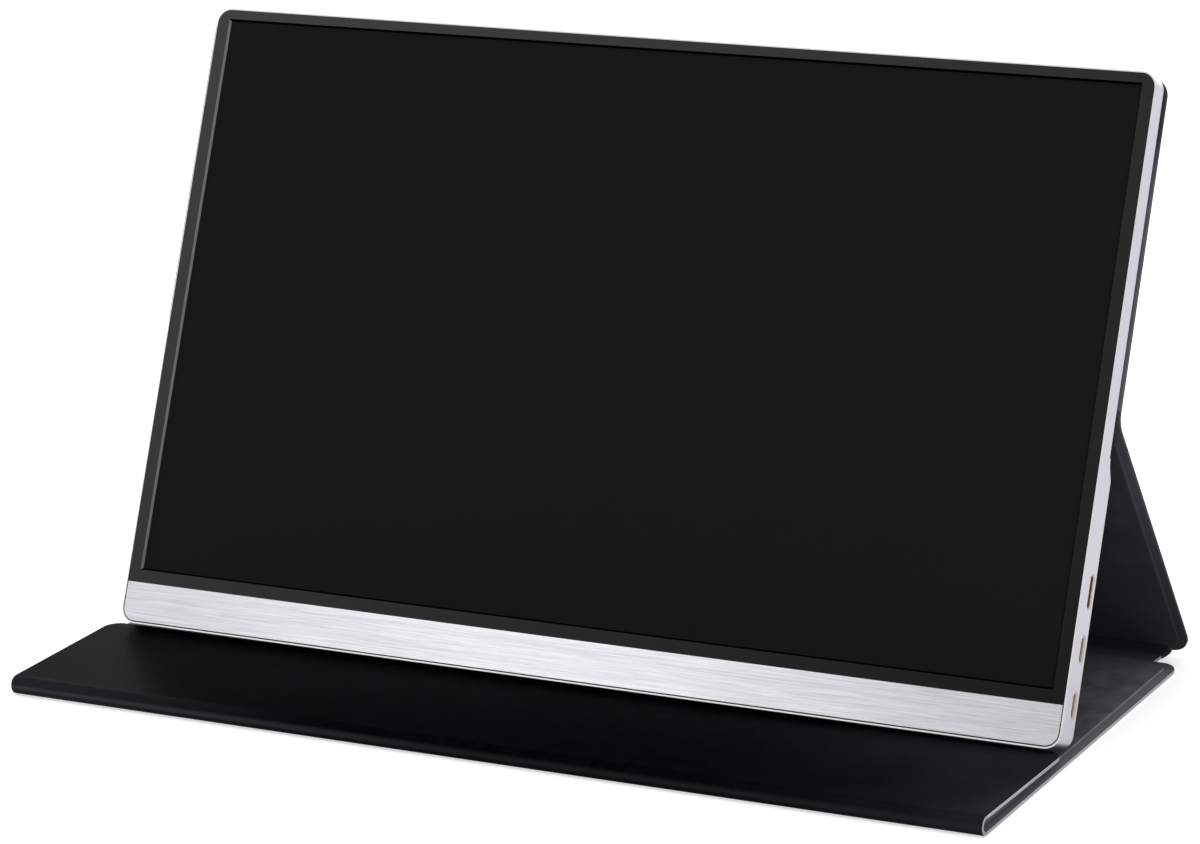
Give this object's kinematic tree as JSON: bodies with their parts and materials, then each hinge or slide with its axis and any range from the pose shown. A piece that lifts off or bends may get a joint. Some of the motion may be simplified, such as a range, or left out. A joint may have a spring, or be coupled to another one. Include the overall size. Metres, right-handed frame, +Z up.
{
  "type": "portable monitor with folding cover",
  "caption": "Slim portable monitor with a dark screen and brushed chin, propped upright by its folding magnetic cover; the cover folds flat and the monitor lifts off.",
  "frame": {"origin": "on the underside of the cover's base, below the middle of the monitor's front bottom edge", "axes": "+X to the viewer's right, +Y to the back, +Z up"},
  "size_m": [0.362, 0.1643, 0.2029],
  "materials": {
    "housing": "satin anodised",
    "chin_metal": "brushed lengthwise",
    "bezel": "matte",
    "screen": "dark, anti-glare",
    "film": "white film",
    "sheet_steel": "bare",
    "magnet": "nickel plated",
    "circuit": "solder resist",
    "dark_plastic": "matte",
    "foam": "soft foam",
    "wire": "insulation",
    "port_metal": "bright",
    "port_plastic": "tan",
    "cover_skin": "smooth synthetic leather",
    "cover_lining": "brushed microfibre",
    "cover_board": "stiff board"
  },
  "bodies": {
    "base": {"base_skin": "cover_skin", "base_board": "cover_board", "base_lining": "cover_lining", "front_fold_skin": "cover_skin", "front_fold_lining": "cover_lining", "spine_fold_skin": "cover_skin", "spine_fold_lining": "cover_lining"},
    "front_flap": {"flap_skin": "cover_skin", "flap_board": "cover_board", "flap_magnets": "magnet", "flap_lining": "cover_lining"},
    "strut": {"strut_skin": "cover_skin", "strut_board": "cover_board", "strut_lining": "cover_lining", "back_fold_skin": "cover_skin", "back_fold_lining": "cover_lining"},
    "back_panel": {"back_skin": "cover_skin", "back_board": "cover_board", "back_magnets": "magnet", "back_lining": "cover_lining"},
    "power_button": {"power_button": "housing"},
    "jog_wheel": {"jog_wheel": "housing"},
    "monitor": {"rear_shell": "housing", "front_frame": "bezel", "chin_tape": "film", "chin_plate": "chin_metal", "lcd_panel": "screen", "light_guide": "film", "backlight_pan": "sheet_steel", "lcd_driver_board": "circuit", "panel_pads": "foam", "panel_cable": "dark_plastic", "main_board": "circuit", "board_chips": "dark_plastic", "board_screws": "sheet_steel", "mini_hdmi_socket": "port_metal", "mini_hdmi_insert": "port_plastic", "usb_c_socket_upper": "port_metal", "usb_c_socket_lower": "port_metal", "usb_c_inserts": "port_plastic", "button_board": "circuit", "button_cable": "dark_plastic", "audio_jack": "dark_plastic", "power_switch": "sheet_steel", "jog_switch": "sheet_steel", "speaker_left": "dark_plastic", "speaker_right": "dark_plastic", "speaker_wires": "wire", "hold_magnets": "magnet"}
  },
  "joints": [
    {"name": "flap_unfold", "type": "hinge", "parent": "base", "child": "front_flap", "pos_m": [0, -0.0549, 0.0032], "axis": [1, 0, 0], "range_deg": [0, 181.3], "deforming": ["front_fold_skin", "front_fold_lining"]},
    {"name": "stand_unfold", "type": "hinge", "parent": "base", "child": "strut", "pos_m": [0, 0.10193, 0.0035], "axis": [-1, 0, 0], "range_deg": [0, 118.5], "deforming": ["spine_fold_skin", "spine_fold_lining"]},
    {"name": "monitor_fold", "type": "hinge", "parent": "strut", "child": "back_panel", "pos_m": [0, 0.05537, 0.09407], "axis": [1, 0, 0], "range_deg": [0, 54.3], "deforming": ["back_fold_skin", "back_fold_lining"]},
    {"name": "monitor_lift", "type": "slide", "parent": "back_panel", "child": "monitor", "axis": [0, -0.9003, 0.4352], "range_m": [0, 0.06]},
    {"name": "power_button_press", "type": "slide", "parent": "monitor", "child": "power_button", "axis": [1, 0, 0], "range_m": [0, 0.0004], "stiffness_N_per_m": 1500, "springref_m": -0.0005},
    {"name": "jog_wheel_turn", "type": "hinge", "parent": "monitor", "child": "jog_wheel", "pos_m": [-0.1745, 0.0271, 0.04731], "axis": [0, 0.9003, -0.4352], "range_deg": [-12, 12], "stiffness_Nm_per_rad": 0.02}
  ],
  "couplings": [
    {"joint": "monitor_fold", "follows": "stand_unfold", "ratio": 0.45823}
  ]
}
